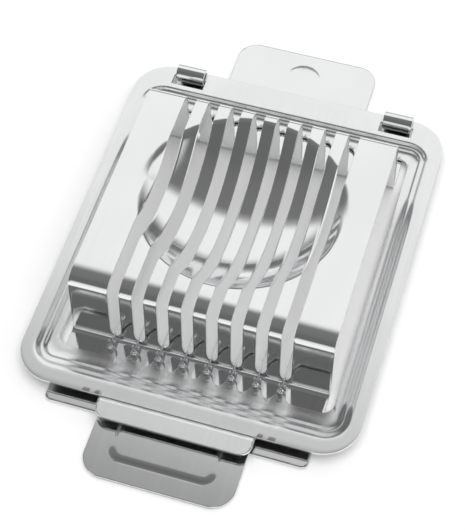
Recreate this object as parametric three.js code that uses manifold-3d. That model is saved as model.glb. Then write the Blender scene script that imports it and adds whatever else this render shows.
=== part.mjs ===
// Egg slicer, all stainless steel, shown closed. Millimetres, +Z up, the table at z = 0.
// The base is one pressed sheet: front tab, front strip, raised slotted cradle with a round egg cup,
// back strip, two rolled hinge tongues and the back tab. The cutting frame is a second pressed sheet
// that swings on the hinge at the back edge and carries eight wires, each held by a crimped ferrule
// at both ends.
import * as THREE from 'three';
import { mergeVertices } from 'three/addons/utils/BufferGeometryUtils.js';
import { ParametricGeometry } from 'three/addons/geometries/ParametricGeometry.js';
import Module from 'manifold-3d';

// Sheet
const SHEET = 0.8;

// Wires and their slots
const WIRE_COUNT = 8;
const WIRE_PITCH = 6;
const WIRE_RADIUS = 0.25;
const WIRE_HEIGHT = 3.5;
const SLOT_WIDTH = 2.8;
const SLOT_FLOOR = 1.8;

// Base strip and its two tabs
const BASE_HALF_WIDTH = 32;
const STRIP_FRONT = -51.9;
const STRIP_BACK = 46.6;
const STRIP_CORNER = 1.5;
const FRONT_TAB_END = -67.3;
const FRONT_TAB_HALF = 18.25;
const FRONT_TAB_CORNER = 5.5;
const BACK_TAB_END = 67.3;
const BACK_TAB_HALF = 18.9;
const BACK_TAB_CORNER = 5;
const DIMPLE_Y = 59.0;
const DIMPLE_RADIUS = 4.7;
const DIMPLE_DEPTH = 0.5;
const DIMPLE_STEPS = 3;
const DIMPLE_SIDES = 24;
const PAD_HALF = 12.6;
const PAD_FRONT = -62.2;
const PAD_BACK = -47.5;
const PAD_RISE = 0.5;
const PAD_CORNER = 3;
const PAD_WALL = 0.5;

// How far a joined body reaches into its neighbour, and how far a cutting body sticks out.
const OVERLAP = 8;
const SEAM = 0.3;
const CLEAR = 1;

// Cradle: the raised part of the base
const CRADLE_FRONT = -30.6;
const CRADLE_BACK = 30.2;
const CRADLE_TOP = 20.6;
const WALL_LEAN = 1.1;
const FRONT_BEND_REACH = 4.4;
const FRONT_BEND_DROP = 2.2;
const BACK_BEND = 2.6;
const FOOT_BEND = 1.4;

// Egg cup
const CUP_Y = 1.9;
const CUP_HALF_X = 25.4;
const CUP_HALF_Y = 24.6;
const CUP_DEPTH = 11;
const CUP_STEPS = 9;
const CUP_SIDES = 40;

// Hinge
const HINGE_Y = 49.8;
const HINGE_Z = 3.2;
const ROLL_OUTER = 2.3;
const ROLL_INNER = 1.5;
const ROLL_END_ANGLE = Math.PI * 1.22;
const TONGUE_BEND = 0.7;
const TONGUE_INNER_X = 24.4;
const TONGUE_OUTER_X = 32;

// Cutting frame
const FRAME_HALF_WIDTH = 41.6;
const FRAME_FRONT = -48.8;
const FRAME_BACK = HINGE_Y + 1.25;
const FRAME_CORNER = 9.5;
const FRAME_TOP = HINGE_Z + SHEET / 2;
const LEDGE_TOP = 1.9;
const HINGE_SLOT_FRONT = HINGE_Y - 4.3;
const HINGE_SLOT_BACK = HINGE_Y - 1.25;
const HINGE_SLOT_END_GAP = 0.5;
const THUMB_HALF = 19;
const THUMB_LENGTH = 5.4;
const THUMB_RISE = 0.1;
const THUMB_CORNER = 3;

// Teeth that hold the wires: the ledge's scalloped edge runs out to a point that is turned up.
// Each wire end carries a crimped ferrule.
const TOOTH_HALF = 2.6;
const TOOTH_REACH = 2.7;
const TIP_HALF = 0.95;
const TIP_TOP = 4.1;
const TIP_NOTCH = 0.8;
const FERRULE_RADIUS = 0.8;
const FERRULE_BORE = 0.45;
const FERRULE_LENGTH = 1.5;
const FERRULE_GAP = 0.3;
const FERRULE_CHAMFER = 0.25;

const wasm = await Module();
wasm.setup();

const steel = (color, roughness) => new THREE.MeshStandardMaterial({ color, roughness, metalness: 1 });

function toSolid(geometry) {
  const bare = geometry.clone();
  bare.deleteAttribute('normal');
  bare.deleteAttribute('uv');
  const merged = mergeVertices(bare, 1e-4);
  const vertProperties = new Float32Array(merged.attributes.position.array);
  const triVerts = new Uint32Array(merged.index.array);
  return new wasm.Manifold(new wasm.Mesh({ numProp: 3, vertProperties, triVerts }));
}

function toGeometry(solid) {
  const mesh = solid.getMesh();
  const geometry = new THREE.BufferGeometry();
  geometry.setAttribute('position', new THREE.BufferAttribute(new Float32Array(mesh.vertProperties), 3));
  geometry.setIndex(new THREE.BufferAttribute(new Uint32Array(mesh.triVerts), 1));
  geometry.computeVertexNormals();
  return geometry;
}

function box(x0, x1, y0, y1, z0, z1) {
  const geometry = new THREE.BoxGeometry(x1 - x0, y1 - y0, z1 - z0);
  geometry.translate((x0 + x1) / 2, (y0 + y1) / 2, (z0 + z1) / 2);
  return toSolid(geometry);
}

// A flat plate with its outline in X and Y, from z0 to z1.
function plate(shape, z0, z1) {
  const geometry = new THREE.ExtrudeGeometry(shape, {
    depth: z1 - z0,
    bevelEnabled: false,
    curveSegments: 6,
  });
  geometry.translate(0, 0, z0);
  return toSolid(geometry);
}

// A plate whose outline lies in Y and Z, run along X between x0 and x1.
function runAlongX(shape, x0, x1) {
  const geometry = new THREE.ExtrudeGeometry(shape, {
    depth: x1 - x0,
    bevelEnabled: false,
    curveSegments: 6,
  });
  geometry.rotateX(Math.PI / 2);
  geometry.rotateZ(Math.PI / 2);
  geometry.translate(x0, 0, 0);
  return toSolid(geometry);
}

function roundedRectangle(x0, x1, y0, y1, radius) {
  const shape = new THREE.Shape();
  shape.moveTo(x0 + radius, y0);
  shape.lineTo(x1 - radius, y0);
  shape.absarc(x1 - radius, y0 + radius, radius, -Math.PI / 2, 0);
  shape.lineTo(x1, y1 - radius);
  shape.absarc(x1 - radius, y1 - radius, radius, 0, Math.PI / 2);
  shape.lineTo(x0 + radius, y1);
  shape.absarc(x0 + radius, y1 - radius, radius, Math.PI / 2, Math.PI);
  shape.lineTo(x0, y0 + radius);
  shape.absarc(x0 + radius, y0 + radius, radius, Math.PI, Math.PI * 1.5);
  return shape;
}

// ---- Base sheet ----

// Side view of the strip, walls and top. The outer line runs along the upper side from front to back,
// the inner line returns along the under side.
function cradleSection() {
  const frontFoot = CRADLE_FRONT - WALL_LEAN;
  const backFoot = CRADLE_BACK + WALL_LEAN;
  const shape = new THREE.Shape();
  shape.moveTo(STRIP_FRONT, 0);
  shape.lineTo(STRIP_FRONT, SHEET);
  shape.lineTo(frontFoot - FOOT_BEND, SHEET);
  shape.quadraticCurveTo(frontFoot, SHEET, frontFoot, SHEET + FOOT_BEND);
  shape.lineTo(CRADLE_FRONT, CRADLE_TOP - FRONT_BEND_DROP);
  shape.quadraticCurveTo(CRADLE_FRONT, CRADLE_TOP, CRADLE_FRONT + FRONT_BEND_REACH, CRADLE_TOP);
  shape.lineTo(CRADLE_BACK - BACK_BEND, CRADLE_TOP);
  shape.quadraticCurveTo(CRADLE_BACK, CRADLE_TOP, CRADLE_BACK, CRADLE_TOP - BACK_BEND);
  shape.lineTo(backFoot, SHEET + FOOT_BEND);
  shape.quadraticCurveTo(backFoot, SHEET, backFoot + FOOT_BEND, SHEET);
  shape.lineTo(STRIP_BACK, SHEET);
  shape.lineTo(STRIP_BACK, 0);
  shape.lineTo(backFoot, 0);
  shape.quadraticCurveTo(backFoot - SHEET, 0, backFoot - SHEET, SHEET);
  const wallFront = CRADLE_FRONT + SHEET;
  const wallBack = CRADLE_BACK - SHEET;
  const under = CRADLE_TOP - SHEET;
  shape.lineTo(wallBack, CRADLE_TOP - BACK_BEND);
  shape.quadraticCurveTo(wallBack, under, CRADLE_BACK - BACK_BEND, under);
  shape.lineTo(CRADLE_FRONT + FRONT_BEND_REACH, under);
  shape.quadraticCurveTo(wallFront, under, wallFront, CRADLE_TOP - FRONT_BEND_DROP);
  shape.lineTo(frontFoot + SHEET, SHEET);
  shape.quadraticCurveTo(frontFoot + SHEET, 0, frontFoot, 0);
  shape.lineTo(STRIP_FRONT, 0);
  return shape;
}

// A round bowl sunk from the height top: halfX and depth give its ball, offset moves its skin outwards,
// and lid is the height where the body is closed off.
function bowl(halfX, depth, top, offset, lid, steps, sides) {
  const ballRadius = (halfX * halfX + depth * depth) / (2 * depth);
  const centreZ = top - depth + ballRadius;
  const radius = ballRadius + offset;
  const rimAngle = Math.acos((centreZ - top) / radius);
  const points = [];
  for (let i = 0; i <= steps; i += 1) {
    const angle = (rimAngle * i) / steps;
    points.push(new THREE.Vector2(radius * Math.sin(angle), centreZ - radius * Math.cos(angle)));
  }
  points.push(new THREE.Vector2(radius * Math.sin(rimAngle), lid));
  points.push(new THREE.Vector2(0, lid));
  const geometry = new THREE.LatheGeometry(points, sides);
  geometry.rotateX(Math.PI / 2);
  return geometry;
}

function cupBody(offset, lid) {
  const geometry = bowl(CUP_HALF_X, CUP_DEPTH, CRADLE_TOP, offset, lid, CUP_STEPS, CUP_SIDES);
  geometry.scale(1, CUP_HALF_Y / CUP_HALF_X, 1);
  geometry.translate(0, CUP_Y, 0);
  return toSolid(geometry);
}

// One hinge tongue: it rises behind the frame and curls forward over its back strip.
function tongue(x0, x1) {
  const outer = ROLL_OUTER;
  const inner = ROLL_INNER;
  const endAngle = ROLL_END_ANGLE;
  const shape = new THREE.Shape();
  shape.moveTo(STRIP_BACK - CLEAR, 0);
  shape.lineTo(HINGE_Y + outer - TONGUE_BEND, 0);
  shape.quadraticCurveTo(HINGE_Y + outer, 0, HINGE_Y + outer, SHEET);
  shape.lineTo(HINGE_Y + outer, HINGE_Z);
  shape.absarc(HINGE_Y, HINGE_Z, outer, 0, endAngle, false);
  shape.lineTo(HINGE_Y + inner * Math.cos(endAngle), HINGE_Z + inner * Math.sin(endAngle));
  shape.absarc(HINGE_Y, HINGE_Z, inner, endAngle, 0, true);
  shape.lineTo(HINGE_Y + inner, SHEET);
  shape.lineTo(STRIP_BACK - CLEAR, SHEET);
  return runAlongX(shape, x0, x1);
}

function buildBase() {
  let body = runAlongX(cradleSection(), -BASE_HALF_WIDTH, BASE_HALF_WIDTH);

  const frontTab = roundedRectangle(
    -FRONT_TAB_HALF, FRONT_TAB_HALF, FRONT_TAB_END, STRIP_FRONT + OVERLAP, FRONT_TAB_CORNER);
  const backTab = roundedRectangle(
    -BACK_TAB_HALF, BACK_TAB_HALF, STRIP_BACK - OVERLAP, BACK_TAB_END, BACK_TAB_CORNER);
  body = body.add(plate(frontTab, 0, SHEET)).add(plate(backTab, 0, SHEET));

  // Raised pad on the front tab, hollow underneath as pressed sheet is.
  const pad = roundedRectangle(-PAD_HALF, PAD_HALF, PAD_FRONT, PAD_BACK, PAD_CORNER);
  const inset = PAD_WALL;
  const padHollow = roundedRectangle(
    -PAD_HALF + inset, PAD_HALF - inset, PAD_FRONT + inset, PAD_BACK - inset, PAD_CORNER - inset);
  body = body.add(plate(pad, SHEET / 2, SHEET + PAD_RISE)).subtract(plate(padHollow, -CLEAR, PAD_RISE));

  // Cup: its outer shell is joined to the top sheet, then its hollow is cut.
  const shell = cupBody(SHEET, CRADLE_TOP - SHEET / 2);
  body = body.add(shell).subtract(cupBody(0, CRADLE_TOP + CLEAR));

  for (let i = 0; i < WIRE_COUNT; i += 1) {
    const x = (i - (WIRE_COUNT - 1) / 2) * WIRE_PITCH;
    const slot = box(
      x - SLOT_WIDTH / 2, x + SLOT_WIDTH / 2,
      CRADLE_FRONT - WALL_LEAN - CLEAR, CRADLE_BACK + WALL_LEAN + CLEAR,
      SLOT_FLOOR, CRADLE_TOP + CLEAR);
    body = body.subtract(slot);
  }

  // Coined dimple in the back tab.
  const dimple = bowl(
    DIMPLE_RADIUS, DIMPLE_DEPTH, SHEET, 0, SHEET + CLEAR, DIMPLE_STEPS, DIMPLE_SIDES);
  dimple.translate(0, DIMPLE_Y, 0);
  body = body.subtract(toSolid(dimple));

  for (const side of [-1, 1]) {
    const x0 = Math.min(side * TONGUE_INNER_X, side * TONGUE_OUTER_X);
    const x1 = Math.max(side * TONGUE_INNER_X, side * TONGUE_OUTER_X);
    body = body.add(tongue(x0, x1));
    // The strip's front corners are rounded.
    const corner = STRIP_CORNER;
    const cut = box(
      side > 0 ? BASE_HALF_WIDTH - corner : -BASE_HALF_WIDTH - CLEAR,
      side > 0 ? BASE_HALF_WIDTH + CLEAR : -BASE_HALF_WIDTH + corner,
      STRIP_FRONT - CLEAR, STRIP_FRONT + corner, -CLEAR, SHEET + CLEAR);
    const keep = new THREE.CylinderGeometry(corner, corner, SHEET * 4, DIMPLE_SIDES);
    keep.rotateX(Math.PI / 2);
    keep.translate(side * (BASE_HALF_WIDTH - corner), STRIP_FRONT + corner, 0);
    body = body.subtract(cut.subtract(toSolid(keep)));
  }
  return toGeometry(body);
}

// ---- Cutting frame ----

// Pressed steps of the frame, from the outer edge inwards: how far in at the sides, front and back,
// and the height of the upper face there.
const FRAME_STEPS = [
  { side: 0, front: 0, back: 0, z: FRAME_TOP },
  { side: 3.2, front: 4.3, back: 7.2, z: FRAME_TOP },
  { side: 4.2, front: 6.0, back: 7.6, z: FRAME_TOP - 0.85 },
  { side: 5.0, front: 6.9, back: 8.8, z: FRAME_TOP - 0.9 },
  { side: 5.7, front: 7.9, back: 9.2, z: LEDGE_TOP },
  { side: 7.7, front: 11.3, back: 11.6, z: LEDGE_TOP },
];

// Straight pieces in each rounded corner of the frame.
const CORNER_STEPS = 8;

// A point on the rounded rectangle that lies inside the outer edge by the given insets.
function ringPoint(turn, inset, target, z) {
  const left = -FRAME_HALF_WIDTH + inset.side;
  const right = FRAME_HALF_WIDTH - inset.side;
  const front = FRAME_FRONT + inset.front;
  const back = FRAME_BACK - inset.back;
  const radius = Math.max(FRAME_CORNER - (inset.side + inset.front) / 2, 3);
  const corners = [
    [right - radius, front + radius, -Math.PI / 2],
    [right - radius, back - radius, 0],
    [left + radius, back - radius, Math.PI / 2],
    [left + radius, front + radius, Math.PI],
  ];
  const index = Math.floor(turn / (CORNER_STEPS + 1));
  const step = turn % (CORNER_STEPS + 1);
  const [cx, cy, start] = corners[index];
  const angle = start + (Math.PI / 2) * (step / CORNER_STEPS);
  target.set(cx + radius * Math.cos(angle), cy + radius * Math.sin(angle), z);
}

function frameRing() {
  const section = [];
  for (const step of FRAME_STEPS) {
    section.push({ inset: step, z: step.z });
  }
  for (const step of [...FRAME_STEPS].reverse()) {
    section.push({ inset: step, z: step.z - SHEET });
  }
  const around = 4 * (CORNER_STEPS + 1);
  const ring = (u, v, target) => {
    const turn = Math.round(u * around) % around;
    const row = section[Math.round(v * section.length) % section.length];
    ringPoint(turn, row.inset, target, row.z);
  };
  return toSolid(new ParametricGeometry(ring, around, section.length));
}

// Thumb tab: it runs on from the front edge, very slightly bent up, with rounded corners.
function thumbTab() {
  const outline = roundedRectangle(-THUMB_HALF, THUMB_HALF, -THUMB_LENGTH, OVERLAP, THUMB_CORNER);
  const slope = Math.atan2(THUMB_RISE, THUMB_LENGTH);
  const geometry = new THREE.ExtrudeGeometry(outline, {
    depth: SHEET,
    bevelEnabled: false,
    curveSegments: 6,
  });
  geometry.translate(0, 0, -SHEET);
  geometry.rotateX(-slope);
  geometry.translate(0, FRAME_FRONT + SEAM, FRAME_TOP);
  const inside = box(
    -THUMB_HALF - CLEAR, THUMB_HALF + CLEAR, FRAME_FRONT + SEAM, 0, -THUMB_LENGTH, THUMB_LENGTH);
  return toSolid(geometry).subtract(inside);
}

const innerStep = FRAME_STEPS[FRAME_STEPS.length - 1];
const FRONT_EDGE_Y = FRAME_FRONT + innerStep.front;
const BACK_EDGE_Y = FRAME_BACK - innerStep.back;
const FRONT_TIP_Y = FRONT_EDGE_Y + TOOTH_REACH;
const BACK_TIP_Y = BACK_EDGE_Y - TOOTH_REACH;

// One tooth: it runs out flat from the ledge's edge, and its tip is turned up and notched for the wire.
// The way is +1 where the tooth points to +Y and -1 where it points to -Y.
function tooth(x, edgeY, way) {
  const root = edgeY - way * SEAM;
  const tip = edgeY + way * TOOTH_REACH;
  const shape = new THREE.Shape();
  shape.moveTo(x - TOOTH_HALF, root);
  shape.lineTo(x + TOOTH_HALF, root);
  shape.lineTo(x + TIP_HALF, tip);
  shape.lineTo(x - TIP_HALF, tip);
  const flat = plate(shape, LEDGE_TOP - SHEET, LEDGE_TOP);
  const end = tip + way * SHEET;
  const low = Math.min(tip, end);
  const high = Math.max(tip, end);
  const upturned = box(x - TIP_HALF, x + TIP_HALF, low, high, LEDGE_TOP - SHEET, TIP_TOP);
  const notch = box(
    x - TIP_NOTCH / 2, x + TIP_NOTCH / 2, low - CLEAR, high + CLEAR,
    WIRE_HEIGHT - TIP_NOTCH / 2, TIP_TOP + CLEAR);
  return flat.add(upturned).subtract(notch);
}

function buildFrame() {
  let body = frameRing().add(thumbTab());
  for (const side of [-1, 1]) {
    const near = side * (TONGUE_INNER_X - HINGE_SLOT_END_GAP);
    const far = side * (TONGUE_OUTER_X + HINGE_SLOT_END_GAP);
    const slot = box(
      Math.min(near, far), Math.max(near, far),
      HINGE_SLOT_FRONT, HINGE_SLOT_BACK, FRAME_TOP - 2 * SHEET, FRAME_TOP + CLEAR);
    body = body.subtract(slot);
  }
  for (let i = 0; i < WIRE_COUNT; i += 1) {
    const x = (i - (WIRE_COUNT - 1) / 2) * WIRE_PITCH;
    body = body.add(tooth(x, FRONT_EDGE_Y, 1)).add(tooth(x, BACK_EDGE_Y, -1));
  }
  return toGeometry(body);
}

// ---- Wires and ferrules ----

const FERRULE_FRONT_Y = FRONT_TIP_Y - FERRULE_GAP - FERRULE_LENGTH;
const FERRULE_BACK_Y = BACK_TIP_Y + FERRULE_GAP;

function buildWire() {
  const start = FERRULE_FRONT_Y;
  const end = FERRULE_BACK_Y + FERRULE_LENGTH;
  const geometry = new THREE.CylinderGeometry(WIRE_RADIUS, WIRE_RADIUS, end - start, 8);
  geometry.translate(0, (start + end) / 2, 0);
  return geometry;
}

function buildFerrule() {
  const chamfer = FERRULE_CHAMFER;
  const points = [
    new THREE.Vector2(FERRULE_BORE, 0),
    new THREE.Vector2(FERRULE_RADIUS - chamfer, 0),
    new THREE.Vector2(FERRULE_RADIUS, chamfer),
    new THREE.Vector2(FERRULE_RADIUS, FERRULE_LENGTH - chamfer),
    new THREE.Vector2(FERRULE_RADIUS - chamfer, FERRULE_LENGTH),
    new THREE.Vector2(FERRULE_BORE, FERRULE_LENGTH),
    new THREE.Vector2(FERRULE_BORE, 0),
  ];
  return new THREE.LatheGeometry(points, 10);
}

// ---- Assembly ----

const group = new THREE.Group();

function place(name, geometry, material, x, y, z) {
  const mesh = new THREE.Mesh(geometry, material);
  mesh.name = name;
  mesh.position.set(x, y, z);
  group.add(mesh);
}

place('base_cradle', buildBase(), steel(0xe6e7e9, 0.12), 0, 0, 0);
place('cutting_frame', buildFrame(), steel(0xd2d3d5, 0.3), 0, 0, 0);
for (let i = 0; i < WIRE_COUNT; i += 1) {
  const x = (i - (WIRE_COUNT - 1) / 2) * WIRE_PITCH;
  place(`wire_${i + 1}`, buildWire(), steel(0xc8c9cb, 0.2), x, 0, WIRE_HEIGHT);
  place(`ferrule_front_${i + 1}`, buildFerrule(), steel(0xdcddde, 0.2), x, FERRULE_FRONT_Y, WIRE_HEIGHT);
  place(`ferrule_back_${i + 1}`, buildFerrule(), steel(0xdcddde, 0.2), x, FERRULE_BACK_Y, WIRE_HEIGHT);
}

export default group;
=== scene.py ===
from math import cos, hypot, pi, sin, sqrt

import bmesh
import bpy
from mathutils import Matrix, Vector


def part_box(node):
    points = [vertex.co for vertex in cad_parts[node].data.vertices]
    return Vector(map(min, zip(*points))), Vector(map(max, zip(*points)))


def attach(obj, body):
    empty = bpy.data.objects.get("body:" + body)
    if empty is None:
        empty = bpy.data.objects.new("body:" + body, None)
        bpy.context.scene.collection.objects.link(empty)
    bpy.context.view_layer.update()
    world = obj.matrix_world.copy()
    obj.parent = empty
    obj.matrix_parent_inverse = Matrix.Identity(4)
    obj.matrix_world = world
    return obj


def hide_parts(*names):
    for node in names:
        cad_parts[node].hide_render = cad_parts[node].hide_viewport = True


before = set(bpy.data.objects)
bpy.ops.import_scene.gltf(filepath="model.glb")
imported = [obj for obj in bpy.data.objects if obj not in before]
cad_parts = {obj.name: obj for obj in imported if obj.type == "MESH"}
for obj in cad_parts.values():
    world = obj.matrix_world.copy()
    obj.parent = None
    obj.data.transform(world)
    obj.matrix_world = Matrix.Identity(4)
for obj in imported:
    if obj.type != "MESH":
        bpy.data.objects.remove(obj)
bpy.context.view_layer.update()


# ---- Base ----
# The base is one sheet of stainless steel, 0.8 mm thick, pressed to shape and polished bright. Its
# middle is raised into a cradle with a round cup for the egg and eight slots for the wires. It ends
# in a tab at each end, and two tongues at the back are rolled over to make the hinge.
MM = 0.001
SHEET = 0.8
base_low, base_high = [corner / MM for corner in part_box("base_cradle")]
BASE_HALF_WIDTH = base_high.x
CRADLE_TOP = base_high.z
FRONT_TAB_END = base_low.y
BACK_TAB_END = base_high.y

STRIP_FRONT = -51.9
STRIP_BACK = 46.6
STRIP_CORNER = 1.5
FRONT_TAB_HALF = 18.25
FRONT_TAB_CORNER = 5.5
BACK_TAB_HALF = 18.9
BACK_TAB_CORNER = 5
CORNER_STEPS = 20
EDGE_BREAK = 0.12
EDGE_BREAK_ANGLE = 0.8
SAME_PLACE = 0.01

CRADLE_FRONT = -30.6
CRADLE_BACK = 30.2
WALL_LEAN = 1.1
FRONT_BEND = (2.2, 4.4)
BACK_BEND = (2.6, 2.6)
FOOT_BEND = (1.8, 1.8)

CUP_Y = 1.9
CUP_HALF_X = 25.4
CUP_HALF_Y = 24.6
CUP_DEPTH = 11
CUP_LIP = 1.0

wire_x = [sum(corner.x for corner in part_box(f"wire_{k}")) / 2 / MM for k in range(1, 9)]
SLOT_HALF = 1.4
SLOT_FLOOR = 1.8
SLOT_END = 3.0
SLOT_END_SHARE = 0.25

PAD_HALF = 12.6
PAD_FRONT = -62.2
PAD_BACK = -47.5
PAD_CORNER = 3
PAD_RISE = 0.5
PAD_SLOPE = 0.9

DIMPLE_Y = 59.0
DIMPLE_RADIUS = 4.7
DIMPLE_DEPTH = 0.27
DIMPLE_EDGE = 0.07
DIMPLE_EDGE_WIDTH = 0.35

HINGE_Y = 49.8
HINGE_Z = 3.2
ROLL_RADIUS = 1.9
ROLL_END = 1.22 * pi
ROLL_STEPS = 24
TONGUE_BEND = 0.6
TONGUE_INNER = 24.4

NET_STEP = 0.4
FINE_STEP = 0.2
ROW_STEP = 0.5
WING_FINE_END = 27.2
WING_STOPS = [28.5, 30.2, 31.2]


def bent_line(corners, bends, steps=12):
    """A line through the corners, each one bent round over its reach before and after the corner."""
    points = [Vector(corners[0])]
    for before, corner, after, (reach_in, reach_out) in zip(corners, corners[1:], corners[2:], bends):
        corner = Vector(corner)
        start = corner + (Vector(before) - corner).normalized() * reach_in
        end = corner + (Vector(after) - corner).normalized() * reach_out
        for i in range(steps + 1):
            share = i / steps
            points.append(start.lerp(corner, share).lerp(corner.lerp(end, share), share))
    points.append(Vector(corners[-1]))
    return points


def spread(stops, step):
    """The stops in order, with even points between those that are further apart than step."""
    full = [stops[0]]
    for a, b in zip(stops, stops[1:]):
        gap = (b - a).length if isinstance(a, Vector) else abs(b - a)
        pieces = max(1, round(gap / step))
        full += [a + (b - a) * (i / pieces) for i in range(1, pieces + 1)]
    return full


def ease(value):
    """0 below 0, 1 above 1, and a smooth rise between."""
    value = min(1, max(0, value))
    return value * value * (3 - 2 * value)


def cup_drop(x, y):
    """How far the cup lies below the cradle's top: part of a ball, run smoothly into its lip."""
    ball = (CUP_HALF_X**2 + CUP_DEPTH**2) / (2 * CUP_DEPTH)
    reach = hypot(x, (y - CUP_Y) * CUP_HALF_X / CUP_HALF_Y)
    drop = sqrt(max(0, ball**2 - reach**2)) - (ball - CUP_DEPTH)
    if drop > CUP_LIP:
        return drop
    return max(0, drop + CUP_LIP) ** 2 / (4 * CUP_LIP)


def pad_rise(x, y):
    """The raised pad pressed into the front tab."""
    side = abs(x) - (PAD_HALF - PAD_CORNER)
    end = abs(y - (PAD_FRONT + PAD_BACK) / 2) - ((PAD_BACK - PAD_FRONT) / 2 - PAD_CORNER)
    outside = hypot(max(side, 0), max(end, 0)) + min(max(side, end), 0) - PAD_CORNER
    return PAD_RISE * ease(-outside / PAD_SLOPE)


def dimple_drop(x, y):
    """The round mark coined into the back tab."""
    reach = hypot(x, y - DIMPLE_Y)
    bowl = DIMPLE_DEPTH * max(0, 1 - (reach / DIMPLE_RADIUS) ** 2)
    return bowl + DIMPLE_EDGE * ease((DIMPLE_RADIUS - reach) / DIMPLE_EDGE_WIDTH)


def rounded_end(half, corner, distance):
    """Half the width of a tab at this distance from its end."""
    inside = max(0, corner - distance)
    return half - corner + sqrt(max(0, corner**2 - inside**2))


def add_net(mesh, columns, rows, place, keep=None):
    """Adds a net of faces: place gives the point of each column and row, keep says which faces stay."""
    net = [[mesh.verts.new(Vector(place(x, row)) * MM) for x in columns] for row in rows]
    for i in range(len(rows) - 1):
        for j in range(len(columns) - 1):
            if keep is None or keep((columns[j] + columns[j + 1]) / 2, (rows[i] + rows[i + 1]) / 2):
                mesh.faces.new((net[i][j], net[i][j + 1], net[i + 1][j + 1], net[i + 1][j]))
    return net


def in_slot(x, row):
    """Whether this place in the sheet is cut away for a wire."""
    return row.y > SLOT_FLOOR and any(abs(x - centre) < SLOT_HALF for centre in wire_x)


def on_strip(x, row):
    """A point of the strip and cradle, where a row is a point of the side view, (y, z)."""
    y, z = row
    for centre in wire_x:
        if abs(abs(x - centre) - SLOT_HALF) < SAME_PLACE and SLOT_FLOOR < z < SLOT_FLOOR + SLOT_END:
            up = 1 - (z - SLOT_FLOOR) / SLOT_END
            x = centre + (x - centre) * max(SLOT_END_SHARE, sqrt(1 - up * up))
    if abs(x) > FRONT_TAB_HALF:
        wing = BASE_HALF_WIDTH - FRONT_TAB_HALF
        rounded = rounded_end(wing, STRIP_CORNER, y - STRIP_FRONT) / wing
        x = (FRONT_TAB_HALF + (abs(x) - FRONT_TAB_HALF) * rounded) * (1 if x > 0 else -1)
    return x, y, z - cup_drop(x, y) + pad_rise(x, y)


def on_front_tab(x, row):
    """A point of the front tab, where a row is (y, z)."""
    half = rounded_end(FRONT_TAB_HALF, FRONT_TAB_CORNER, row.x - FRONT_TAB_END)
    return x * half / FRONT_TAB_HALF, row.x, row.y + pad_rise(x, row.x)


def on_back_tab(x, row):
    """A point of the back tab, where a row is (y, z)."""
    half = rounded_end(BACK_TAB_HALF, BACK_TAB_CORNER, BACK_TAB_END - row.x)
    return x * half / BACK_TAB_HALF, row.x, row.y - dimple_drop(x, row.x)


# Rows run along the sheet's side view, at the middle of its thickness, and columns run across it.
bar_edges = [centre + side * SLOT_HALF for centre in wire_x for side in (-1, 1)]
columns = spread(bar_edges, NET_STEP)
outermost = bar_edges[-1]
wing_stops = spread([outermost, WING_FINE_END], ROW_STEP)
wing_stops += [TONGUE_INNER] + WING_STOPS + [BASE_HALF_WIDTH]
columns += [side * x for side in (-1, 1) for x in wing_stops] + [bar_edges[0]]
columns += [side * x for side in (-1, 1) for x in (FRONT_TAB_HALF, BACK_TAB_HALF)]
columns = sorted(set(round(x, 4) for x in columns))

middle = SHEET / 2
front_foot = CRADLE_FRONT - WALL_LEAN + middle
back_foot = CRADLE_BACK + WALL_LEAN - middle
side_view = bent_line(
    [
        (STRIP_FRONT, middle),
        (front_foot, middle),
        (CRADLE_FRONT + middle, CRADLE_TOP - middle),
        (CRADLE_BACK - middle, CRADLE_TOP - middle),
        (back_foot, middle),
        (STRIP_BACK, middle),
    ],
    [FOOT_BEND, FRONT_BEND, BACK_BEND, FOOT_BEND],
)
strip_rows = spread(side_view[:1] + [Vector((STRIP_FRONT + STRIP_CORNER, middle))] + side_view[1:], ROW_STEP)

base_mesh = bmesh.new()
add_net(base_mesh, columns, strip_rows, on_strip, lambda x, row: not in_slot(x, row))

tab_columns = [x for x in columns if abs(x) <= FRONT_TAB_HALF + SAME_PLACE]
corner_line = FRONT_TAB_END + FRONT_TAB_CORNER
corner_turns = [i * pi / 2 / CORNER_STEPS for i in range(CORNER_STEPS + 1)]
tab_rows = [FRONT_TAB_END + FRONT_TAB_CORNER * (1 - cos(turn)) for turn in corner_turns[:-1]]
tab_rows = [Vector((y, middle)) for y in tab_rows + spread([corner_line, STRIP_FRONT], NET_STEP)]
add_net(base_mesh, tab_columns, tab_rows, on_front_tab)

tab_columns = [x for x in columns if abs(x) <= BACK_TAB_HALF + SAME_PLACE]
corner_line = BACK_TAB_END - BACK_TAB_CORNER
tab_rows = [BACK_TAB_END - BACK_TAB_CORNER * (1 - sin(turn)) for turn in corner_turns[1:]]
tab_rows = [Vector((y, middle)) for y in spread([STRIP_BACK, corner_line], FINE_STEP) + tab_rows]
tab_columns = sorted(tab_columns + [x + FINE_STEP for x in tab_columns if abs(x) < DIMPLE_RADIUS + 1])
add_net(base_mesh, tab_columns, tab_rows, on_back_tab)

roll_back = HINGE_Y + ROLL_RADIUS
tongue_corners = [(STRIP_BACK, middle), (roll_back, middle), (roll_back, HINGE_Z)]
tongue_line = bent_line(tongue_corners, [(TONGUE_BEND, TONGUE_BEND)])
for i in range(1, ROLL_STEPS + 1):
    angle = ROLL_END * i / ROLL_STEPS
    tongue_line.append(Vector((HINGE_Y + ROLL_RADIUS * cos(angle), HINGE_Z + ROLL_RADIUS * sin(angle))))
for side in (-1, 1):
    tongue_columns = [x for x in columns if side * x >= TONGUE_INNER - SAME_PLACE]
    add_net(base_mesh, tongue_columns, tongue_line, lambda x, row: (x, row.x, row.y))


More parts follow.
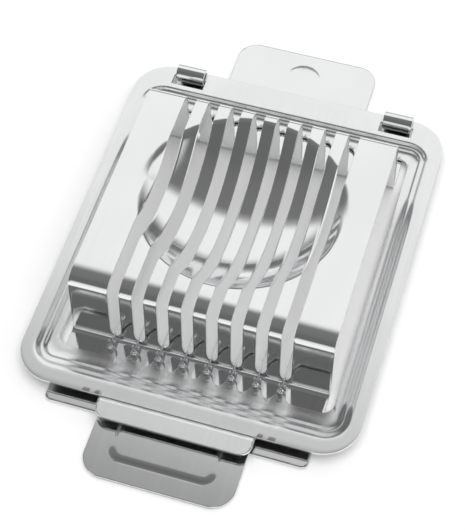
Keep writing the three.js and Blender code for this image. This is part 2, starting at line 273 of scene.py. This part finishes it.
def make_sheet(name, mesh, offset):
    """Turns a net into a sheet of metal with its cut edges broken; offset -1 keeps the net on top."""
    bmesh.ops.remove_doubles(mesh, verts=mesh.verts, dist=SAME_PLACE * MM)
    loose = [vertex for vertex in mesh.verts if not vertex.link_faces]
    bmesh.ops.delete(mesh, geom=loose, context="VERTS")
    for face in mesh.faces:
        face.smooth = True
    data = bpy.data.meshes.new(name)
    mesh.to_mesh(data)
    mesh.free()
    sheet = bpy.data.objects.new(name, data)
    bpy.context.scene.collection.objects.link(sheet)
    solid = sheet.modifiers.new("thickness", "SOLIDIFY")
    solid.thickness = SHEET * MM
    solid.offset = offset
    bevel = sheet.modifiers.new("broken edges", "BEVEL")
    bevel.width = EDGE_BREAK * MM
    bevel.segments = 2
    bevel.limit_method = "ANGLE"
    bevel.angle_limit = EDGE_BREAK_ANGLE
    bevel.use_clamp_overlap = False
    sheet.modifiers.new("flat faces", "WEIGHTED_NORMAL")
    return sheet


def link(tree, output, target):
    tree.links.new(output, target)


CLOUD_SCALE = 45
CLOUD_DARK = 0.95
WAVE_SCALE = 60
NOISE_LOW = 0.3
NOISE_HIGH = 0.7


def steel_finish(name, tint, rough_low, rough_high, grain, grain_depth, wave_depth):
    """Stainless steel: cloudy tone, roughness with a grain along Y, and a faint uneven surface."""
    material = bpy.data.materials.new(name)
    material.use_nodes = True
    tree = material.node_tree
    shader = tree.nodes["Principled BSDF"]
    shader.inputs["Metallic"].default_value = 1
    place = tree.nodes.new("ShaderNodeTexCoord")

    cloud = tree.nodes.new("ShaderNodeTexNoise")
    cloud.inputs["Scale"].default_value = CLOUD_SCALE
    cloud.inputs["Detail"].default_value = 3
    link(tree, place.outputs["Object"], cloud.inputs["Vector"])
    tone = tree.nodes.new("ShaderNodeValToRGB")
    tone.color_ramp.elements[0].position = NOISE_LOW
    tone.color_ramp.elements[0].color = (*[part * CLOUD_DARK for part in tint], 1)
    tone.color_ramp.elements[1].position = NOISE_HIGH
    tone.color_ramp.elements[1].color = (*tint, 1)
    link(tree, cloud.outputs["Fac"], tone.inputs["Fac"])
    link(tree, tone.outputs["Color"], shader.inputs["Base Color"])

    stretch = tree.nodes.new("ShaderNodeMapping")
    stretch.inputs["Scale"].default_value = grain
    link(tree, place.outputs["Object"], stretch.inputs["Vector"])
    streak = tree.nodes.new("ShaderNodeTexNoise")
    streak.inputs["Scale"].default_value = 1
    streak.inputs["Detail"].default_value = 4
    link(tree, stretch.outputs["Vector"], streak.inputs["Vector"])
    rough = tree.nodes.new("ShaderNodeMapRange")
    rough.inputs["From Min"].default_value = NOISE_LOW
    rough.inputs["From Max"].default_value = NOISE_HIGH
    rough.inputs["To Min"].default_value = rough_low
    rough.inputs["To Max"].default_value = rough_high
    link(tree, streak.outputs["Fac"], rough.inputs["Value"])
    link(tree, rough.outputs["Result"], shader.inputs["Roughness"])

    fine = tree.nodes.new("ShaderNodeBump")
    fine.inputs["Strength"].default_value = 1
    fine.inputs["Distance"].default_value = grain_depth * MM
    link(tree, streak.outputs["Fac"], fine.inputs["Height"])
    wave = tree.nodes.new("ShaderNodeTexNoise")
    wave.inputs["Scale"].default_value = WAVE_SCALE
    wave.inputs["Detail"].default_value = 1
    link(tree, place.outputs["Object"], wave.inputs["Vector"])
    uneven = tree.nodes.new("ShaderNodeBump")
    uneven.inputs["Strength"].default_value = 1
    uneven.inputs["Distance"].default_value = wave_depth * MM
    link(tree, wave.outputs["Fac"], uneven.inputs["Height"])
    link(tree, fine.outputs["Normal"], uneven.inputs["Normal"])
    link(tree, uneven.outputs["Normal"], shader.inputs["Normal"])
    return material


base = make_sheet("base_sheet", base_mesh, 0)
base.data.materials.append(
    steel_finish("polished steel", (0.86, 0.865, 0.87), 0.06, 0.12, (900, 40, 900), 0.0004, 0.01))
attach(base, "base")
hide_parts("base_cradle")


# ---- Cutting frame ----
# The frame is a second pressed sheet with a satin finish. Two steps lead down from its flat rim to a
# ledge that carries the wires, a thumb tab runs on at the front, and the hinge tongues of the base
# pass through two slots behind. The ledge's edges are cut into teeth whose tips are turned up.
frame_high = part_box("cutting_frame")[1] / MM
FRAME_HALF_WIDTH = frame_high.x
FRAME_BACK = frame_high.y
FRAME_FRONT = -48.8
RIM_TOP = HINGE_Z + SHEET / 2
LEDGE_TOP = 1.9
FRAME_CORNER = 9.5
SMALLEST_CORNER = 3
CORNER_PIECES = 12

# How far in from the outer edge each bend is, at the sides, front and back, and its height.
RIM_BENDS = [
    (2.0, 3.0, 6.4, RIM_TOP),
    (3.2, 4.3, 7.2, RIM_TOP),
    (4.2, 6.0, 7.6, RIM_TOP - 0.85),
    (5.0, 6.9, 8.8, RIM_TOP - 0.9),
    (5.7, 7.9, 9.2, LEDGE_TOP),
    (7.7, 11.3, 11.6, LEDGE_TOP),
]
BEND_SHARE = 0.45
BEND_PIECES = 4
# The two flat loops before the first bend: how far in at the sides and front, and the corner's loss.
OUTER_SLOT_LOOP = (0.9, 1.3, 1.9)
INNER_SLOT_LOOP = (1.5, 2.1, 2.6)
# The last flat loop lies this far outside the toothed edge, at the sides, front and back.
LEDGE_LOOP = (0.9, 1.6, 1.2)
LEDGE_LOOP_CORNER = SMALLEST_CORNER + 0.6
TOOTHED_HALF = 24.5
SLOT_PIECES = 8
SLOT_CORNER_GAP = 0.3
SIDE_PIECES = 30

# The slots leave a strip behind them, as wide each way from the hinge, for the tongues to turn round.
HINGE_STRIP_HALF = 1.25
HINGE_SLOT_REACH = 4.3
SLOT_END_GAP = 0.5
SLOT_MARGIN = 0.1
HINGE_SLOT_INNER = TONGUE_INNER - SLOT_END_GAP
HINGE_SLOT_OUTER = BASE_HALF_WIDTH + SLOT_END_GAP
HINGE_SLOT_BACK = FRAME_BACK - (HINGE_Y - HINGE_STRIP_HALF)
HINGE_SLOT_FRONT = FRAME_BACK - (HINGE_Y - HINGE_SLOT_REACH)

THUMB_HALF = 19
THUMB_LENGTH = 5.4
THUMB_RISE = 0.1
THUMB_CORNER = 3
THUMB_CREASE = 0.35
CREASE_DEPTH = 0.15
CREASE_START = 0.1
CREASE_END = 0.7
THUMB_STEP = 0.6
THUMB_CORNER_STEPS = 12

TOOTH_HALF = 2.9
TOOTH_REACH = 2.7
TIP_HALF = 0.95
TIP_TOP = 4.1
TIP_BEND = 0.3
TIP_TURN_OUT = 0.3
TIP_TURN_UP = 0.25
NOTCH_HALF = 0.45
WIRE_HEIGHT = 3.5


def tooth_reach(x):
    """How far the ledge's edge runs out at x: a hollow between two teeth, rising to each tip."""
    away = min(abs(x - centre) for centre in wire_x)
    if away <= TIP_HALF + SAME_PLACE:
        return TOOTH_REACH - TIP_BEND
    share = min(1, (away - TIP_HALF) / (TOOTH_HALF - TIP_HALF))
    return (TOOTH_REACH - TIP_BEND) * (1 - share) ** 2


def rounded_bends(bends):
    """The line through the bends with each one rounded, as (side, front, back, z)."""
    line = [Vector(bends[0])]
    for before, bend, after in zip(bends, bends[1:], bends[2:]):
        before, bend, after = Vector(before), Vector(bend), Vector(after)
        start = bend.lerp(before, BEND_SHARE)
        end = bend.lerp(after, BEND_SHARE)
        for i in range(BEND_PIECES + 1):
            share = i / BEND_PIECES
            line.append(start.lerp(bend, share).lerp(bend.lerp(end, share), share))
    line.append(Vector(bends[-1]))
    return line


# Each tooth's outline has points this far to each side of its wire.
tooth_outline = (0, NOTCH_HALF, TIP_HALF, 1.2, 1.5, 1.8, 2.1, 2.5, TOOTH_HALF)
tooth_stops = [centre + side * away for centre in wire_x for side in (-1, 1) for away in tooth_outline]
across = [x for x in tooth_stops + [-THUMB_HALF, THUMB_HALF] if abs(x) < HINGE_SLOT_INNER - SLOT_MARGIN]
across = sorted(set(round(x, 3) for x in across))


def ring_points(side, front, back, z, corner, toothed=False):
    """One loop around the frame, as (x, y, z), the same number of points for every loop."""
    half = FRAME_HALF_WIDTH - side
    near = FRAME_FRONT + front
    far = FRAME_BACK - back
    end = half - corner
    slot_end = min(HINGE_SLOT_OUTER, end - SLOT_CORNER_GAP)
    slot_width = slot_end - HINGE_SLOT_INNER
    outer = [HINGE_SLOT_INNER + slot_width * i / SLOT_PIECES for i in range(SLOT_PIECES + 1)] + [end]
    line = [-x for x in reversed(outer)] + across + outer
    reaches = [tooth_reach(x) if toothed and abs(x) < TOOTHED_HALF else 0 for x in line]
    points = [(x, near + reach, z) for x, reach in zip(line, reaches)]
    side_steps = [(far - near - 2 * corner) * i / SIDE_PIECES for i in range(SIDE_PIECES + 1)]
    corners = [
        (half - corner, near + corner, -pi / 2),
        (half - corner, far - corner, 0),
        (-half + corner, far - corner, pi / 2),
        (-half + corner, near + corner, pi),
    ]
    for index, (cx, cy, start) in enumerate(corners):
        for i in range(1, CORNER_PIECES):
            angle = start + pi / 2 * i / CORNER_PIECES
            points.append((cx + corner * cos(angle), cy + corner * sin(angle), z))
        if index == 0:
            points += [(half, near + corner + step, z) for step in side_steps]
        if index == 1:
            points += [(x, far - reach, z) for x, reach in reversed(list(zip(line, reaches)))]
        if index == 2:
            points += [(-half, far - corner - step, z) for step in side_steps]
    return points


loops = [ring_points(0, 0, 0, RIM_TOP, FRAME_CORNER)]
slot_edges = [(OUTER_SLOT_LOOP, HINGE_SLOT_BACK), (INNER_SLOT_LOOP, HINGE_SLOT_FRONT)]
for (side, front, loss), back in slot_edges:
    loops.append(ring_points(side, front, back, RIM_TOP, FRAME_CORNER - loss))
slot_loop = 1
for side, front, back, z in rounded_bends(RIM_BENDS)[:-1]:
    corner = max(FRAME_CORNER - (side + front) / 2, SMALLEST_CORNER)
    loops.append(ring_points(side, front, back, z, corner))
side, front, back, z = RIM_BENDS[-1]
side_in, front_in, back_in = LEDGE_LOOP
loops.append(ring_points(side - side_in, front - front_in, back - back_in, z, LEDGE_LOOP_CORNER))
loops.append(ring_points(side, front, back, z, SMALLEST_CORNER, toothed=True))

frame_mesh = bmesh.new()
rings = [[frame_mesh.verts.new(Vector(point) * MM) for point in loop] for loop in loops]
for i in range(len(rings) - 1):
    outer_ring, inner_ring = rings[i], rings[i + 1]
    for j in range(len(outer_ring)):
        after = (j + 1) % len(outer_ring)
        middle_x = abs(loops[i][j][0] + loops[i][after][0]) / 2
        at_back = loops[i][j][1] > FRAME_BACK - HINGE_SLOT_BACK - SLOT_MARGIN
        if i == slot_loop and at_back and HINGE_SLOT_INNER < middle_x < HINGE_SLOT_OUTER:
            if abs(loops[i][j][1] - loops[i][after][1]) < SAME_PLACE:
                continue
        frame_mesh.faces.new((outer_ring[j], outer_ring[after], inner_ring[after], inner_ring[j]))

# Turned-up tips: each carries on from the ledge's edge, and is notched for its wire.
ledge_front = FRAME_FRONT + RIM_BENDS[-1][1]
ledge_back = FRAME_BACK - RIM_BENDS[-1][2]
notch_floor = WIRE_HEIGHT - NOTCH_HALF
for centre in wire_x:
    for edge, way in ((ledge_front, 1), (ledge_back, -1)):
        tip = edge + way * TOOTH_REACH
        tip_line = [
            Vector((tip - way * TIP_BEND, LEDGE_TOP)),
            Vector((tip - way * TIP_BEND * TIP_TURN_OUT, LEDGE_TOP + TIP_BEND * TIP_TURN_UP)),
            Vector((tip, LEDGE_TOP + TIP_BEND)),
            Vector((tip, notch_floor)),
            Vector((tip, TIP_TOP)),
        ]
        tip_columns = [centre + way * x for x in (-TIP_HALF, -NOTCH_HALF, 0, NOTCH_HALF, TIP_HALF)]

        def beside_notch(x, row, centre=centre):
            return row.y < notch_floor or abs(x - centre) > NOTCH_HALF

        add_net(frame_mesh, tip_columns, tip_line, lambda x, row: (x, row.x, row.y), beside_notch)

thumb_columns = [x for x in across if abs(x) <= THUMB_HALF + SAME_PLACE]
thumb_reach = [0, CREASE_START, THUMB_CREASE]
thumb_reach += spread([CREASE_END, THUMB_LENGTH - THUMB_CORNER], THUMB_STEP)
thumb_turns = [i * pi / 2 / THUMB_CORNER_STEPS for i in range(1, THUMB_CORNER_STEPS + 1)]
thumb_reach += [THUMB_LENGTH - THUMB_CORNER * (1 - sin(turn)) for turn in thumb_turns]


def on_thumb_tab(x, row):
    """A point of the thumb tab, where a row is how far out it lies: pressed down at the crease."""
    half = rounded_end(THUMB_HALF, THUMB_CORNER, THUMB_LENGTH - row)
    lift = row * THUMB_RISE / THUMB_LENGTH
    if abs(row - THUMB_CREASE) < SAME_PLACE:
        lift -= CREASE_DEPTH
    return x * half / THUMB_HALF, FRAME_FRONT - row, RIM_TOP + lift


add_net(frame_mesh, thumb_columns, list(reversed(thumb_reach)), on_thumb_tab)

cutting_frame = make_sheet("frame_sheet", frame_mesh, -1)
cutting_frame.data.materials.append(
    steel_finish("satin steel", (0.88, 0.885, 0.89), 0.21, 0.27, (1400, 60, 1400), 0.0008, 0.006))
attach(cutting_frame, "frame")
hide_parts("cutting_frame")


# ---- Wires ----
# Eight straight lengths of hard stainless wire, half a millimetre thick, drawn tight across the frame.
# Each lies in the notches of a front and a back tooth.
def turned_piece(name, outline, sides, squeeze=None):
    """A round piece along Y, from its outline of (y, radius) points, squeezed flat where squeeze says."""
    mesh = bmesh.new()
    rows = []
    for y, radius in outline:
        row = []
        for i in range(sides):
            angle = 2 * pi * i / sides
            wide, tall = squeeze(y) if squeeze else (1, 1)
            row.append(mesh.verts.new((radius * wide * sin(angle), y, radius * tall * cos(angle))))
        rows.append(row)
    for row, after in zip(rows, rows[1:]):
        for i in range(sides):
            mesh.faces.new((row[i], row[(i + 1) % sides], after[(i + 1) % sides], after[i]))
    mesh.faces.new(reversed(rows[0]))
    mesh.faces.new(rows[-1])
    bmesh.ops.recalc_face_normals(mesh, faces=mesh.faces)
    for face in mesh.faces:
        face.smooth = True
    data = bpy.data.meshes.new(name)
    mesh.to_mesh(data)
    mesh.free()
    piece = bpy.data.objects.new(name, data)
    bpy.context.scene.collection.objects.link(piece)
    piece.modifiers.new("flat faces", "WEIGHTED_NORMAL")
    return piece


WIRE_SIDES = 14
WIRE_PIECES = 30
WIRE_END_SHARE = 0.7
WIRE_END_LENGTH = 0.3

wire_steel = steel_finish("drawn wire", (0.8, 0.81, 0.82), 0.14, 0.22, (2500, 120, 2500), 0.0006, 0.002)
for k in range(1, 9):
    low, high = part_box(f"wire_{k}")
    centre = (low + high) / 2
    radius = (high.x - low.x) / 2
    start, end = low.y - centre.y, high.y - centre.y
    round_over = radius * WIRE_END_LENGTH
    outline = [(start, radius * WIRE_END_SHARE), (start + round_over, radius)]
    outline += [(start + (end - start) * i / WIRE_PIECES, radius) for i in range(1, WIRE_PIECES)]
    outline += [(end - round_over, radius), (end, radius * WIRE_END_SHARE)]
    wire = turned_piece(f"drawn_wire_{k}", outline, WIRE_SIDES)
    wire.location = centre
    wire.data.materials.append(wire_steel)
    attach(wire, "frame")
    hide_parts(f"wire_{k}")


# ---- Ferrules ----
# A small steel sleeve is crimped on each end of each wire, and holds it against the turned-up tip.
# The crimping tool leaves it flatter in the middle and rounded at both ends.
FERRULE_SIDES = 20
FERRULE_PIECES = 16
ROUND_END_START = 0.5
ROUND_END_DEPTH = 2.6
CRIMP = 0.16
CRIMP_REACH = 0.3

ferrule_steel = steel_finish("bright ferrule", (0.88, 0.885, 0.89), 0.08, 0.16, (600, 600, 600), 0.001, 0.004)
for end in ("front", "back"):
    for k in range(1, 9):
        node = f"ferrule_{end}_{k}"
        low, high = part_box(node)
        centre = (low + high) / 2
        length = high.y - low.y
        radius = (high.z - low.z) / 2
        outline = []
        for i in range(FERRULE_PIECES + 1):
            along = i / FERRULE_PIECES - 0.5
            round_end = sqrt(1 - max(0, abs(along) * 2 - ROUND_END_START) ** 2 * ROUND_END_DEPTH)
            outline.append((along * length, radius * round_end))
        ferrule = turned_piece(
            f"crimped_{node}", outline, FERRULE_SIDES,
            lambda y: (1, 1 - CRIMP * ease(1 - abs(y) / (length * CRIMP_REACH))))
        ferrule.location = centre
        ferrule.data.materials.append(ferrule_steel)
        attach(ferrule, "frame")
        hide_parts(node)


# ---- Table top ----
# A smooth white table top. The slicer stands on it on the flat strips and tabs of its base.
TABLE_HALF = 4
TABLE_GAP = 0.0001
TABLE_NOISE = 12
floor_mesh = bmesh.new()
bmesh.ops.create_grid(floor_mesh, x_segments=2, y_segments=2, size=TABLE_HALF)
floor_data = bpy.data.meshes.new("table_top")
floor_mesh.to_mesh(floor_data)
floor_mesh.free()
floor = bpy.data.objects.new("table_top", floor_data)
bpy.context.scene.collection.objects.link(floor)
floor.location.z = -TABLE_GAP
paper = bpy.data.materials.new("white table top")
paper.use_nodes = True
paper_shader = paper.node_tree.nodes["Principled BSDF"]
paper_shader.inputs["Roughness"].default_value = 0.9
paper_shader.inputs["Specular IOR Level"].default_value = 0
paper_noise = paper.node_tree.nodes.new("ShaderNodeTexNoise")
paper_noise.inputs["Scale"].default_value = TABLE_NOISE
paper_tone = paper.node_tree.nodes.new("ShaderNodeValToRGB")
paper_tone.color_ramp.elements[0].color = (0.9, 0.9, 0.9, 1)
paper_tone.color_ramp.elements[1].color = (0.93, 0.93, 0.93, 1)
link(paper.node_tree, paper_noise.outputs["Fac"], paper_tone.inputs["Fac"])
link(paper.node_tree, paper_tone.outputs["Color"], paper_shader.inputs["Base Color"])
floor.data.materials.append(paper)


# ---- Light ----
# A white tent lit from outside, as for polished metal. A dark panel hangs overhead and to the front,
# so that the cup, the walls and the bends have something dark to mirror.
scene = bpy.context.scene
scene.view_settings.view_transform = "Standard"
tent = bpy.data.worlds.new("tent")
scene.world = tent
tent.use_nodes = True
sky = tent.node_tree
sky_direction = sky.nodes.new("ShaderNodeTexCoord")
sky_parts = sky.nodes.new("ShaderNodeSeparateXYZ")
link(sky, sky_direction.outputs["Generated"], sky_parts.inputs["Vector"])
behind = sky.nodes.new("ShaderNodeMath")
behind.operation = "ARCCOSINE"
link(sky, sky_parts.outputs["Y"], behind.inputs[0])
behind_share = sky.nodes.new("ShaderNodeMath")
behind_share.operation = "DIVIDE"
behind_share.inputs[1].default_value = pi
link(sky, behind.outputs["Value"], behind_share.inputs[0])
panel = sky.nodes.new("ShaderNodeValToRGB")
# The tent's tone at each angle in degrees, from 0 straight behind the slicer to 180 straight in front.
panel_tones = [
    (0, 1.0),
    (60, 1.0),
    (62, 0.85),
    (66, 0.42),
    (71, 0.2),
    (98, 0.18),
    (112, 0.15),
    (143, 0.15),
    (156, 0.9),
    (180, 1.0),
]
ramp = panel.color_ramp
for index, (degrees, tone) in enumerate(panel_tones):
    stop = ramp.elements[index] if index < 2 else ramp.elements.new(degrees / 180)
    stop.position = degrees / 180
    stop.color = (tone, tone, tone, 1)
link(sky, behind_share.outputs["Value"], panel.inputs["Fac"])


def smooth_share(value, start, end):
    """A node that rises from 0 to 1 as the value goes from start to end."""
    share = sky.nodes.new("ShaderNodeMapRange")
    share.interpolation_type = "SMOOTHSTEP"
    share.inputs["From Min"].default_value = start
    share.inputs["From Max"].default_value = end
    link(sky, value, share.inputs["Value"])
    return share.outputs["Result"]


def two_input(operation, first, second):
    """A node that works out one value from two, each of them a number or another node's output."""
    node = sky.nodes.new("ShaderNodeMath")
    node.operation = operation
    for socket, value in zip(node.inputs, (first, second)):
        if isinstance(value, (int, float)):
            socket.default_value = value
        else:
            link(sky, value, socket)
    return node.outputs["Value"]


# Where the tent's white side walls begin and end beside the panel, as a share of the way to each side.
RIGHT_WALL = (0.7, 0.86)
LEFT_WALL = (-0.955, -0.99)
right_wall = smooth_share(sky_parts.outputs["X"], *RIGHT_WALL)
left_wall = smooth_share(sky_parts.outputs["X"], *LEFT_WALL)
side_wall = two_input("MAXIMUM", left_wall, right_wall)
# The tent is dim low down at the back.
LOW_BACK = (0.36, 0.1)
FAR_BACK = (0.3, 0.7)
BACK_DIM = 0.85
low_down = smooth_share(sky_parts.outputs["Z"], *LOW_BACK)
at_back = smooth_share(sky_parts.outputs["Y"], *FAR_BACK)
dim = two_input("SUBTRACT", 1, two_input("MULTIPLY", two_input("MULTIPLY", low_down, at_back), BACK_DIM))
tent_tone = two_input("MAXIMUM", panel.outputs["Color"], side_wall)
tent_tone = two_input("MULTIPLY", tent_tone, dim)
link(sky, tent_tone, sky.nodes["Background"].inputs["Color"])

LAMP_ENERGY = 2.3
LAMP_ANGLE = 1.3
LAMP_TILT = (0.15, 0.1, 0)
lamp_data = bpy.data.lights.new("overhead", "SUN")
lamp_data.energy = LAMP_ENERGY
lamp_data.angle = LAMP_ANGLE
lamp = bpy.data.objects.new("overhead", lamp_data)
scene.collection.objects.link(lamp)
lamp.rotation_euler = LAMP_TILT
lamp.visible_glossy = False


# ---- Camera ----
# Above the front right of the slicer, looking down its length, about 0.4 metres away.
CAMERA_AIM = Vector((-0.0006, -0.0033, 0))
CAMERA_DISTANCE = 0.389
CAMERA_TO_RIGHT = 17.9
CAMERA_HEIGHT_ANGLE = 56.5
CAMERA_ROLL = -1.0
CAMERA_SENSOR = 36
CAMERA_LENS = 106.4
to_right = CAMERA_TO_RIGHT * pi / 180
height_angle = CAMERA_HEIGHT_ANGLE * pi / 180
roll = CAMERA_ROLL * pi / 180
look = Vector((-sin(to_right) * cos(height_angle), cos(to_right) * cos(height_angle), -sin(height_angle)))
level = look.cross(Vector((0, 0, 1))).normalized()
right = level * cos(roll) + level.cross(look) * sin(roll)
up = right.cross(look)
camera_data = bpy.data.cameras.new("camera")
camera_data.sensor_width = CAMERA_SENSOR
camera_data.lens = CAMERA_LENS
camera = bpy.data.objects.new("camera", camera_data)
scene.collection.objects.link(camera)
turn = Matrix((right, up, -look)).transposed()
camera.matrix_world = Matrix.Translation(CAMERA_AIM - look * CAMERA_DISTANCE) @ turn.to_4x4()
scene.camera = camera
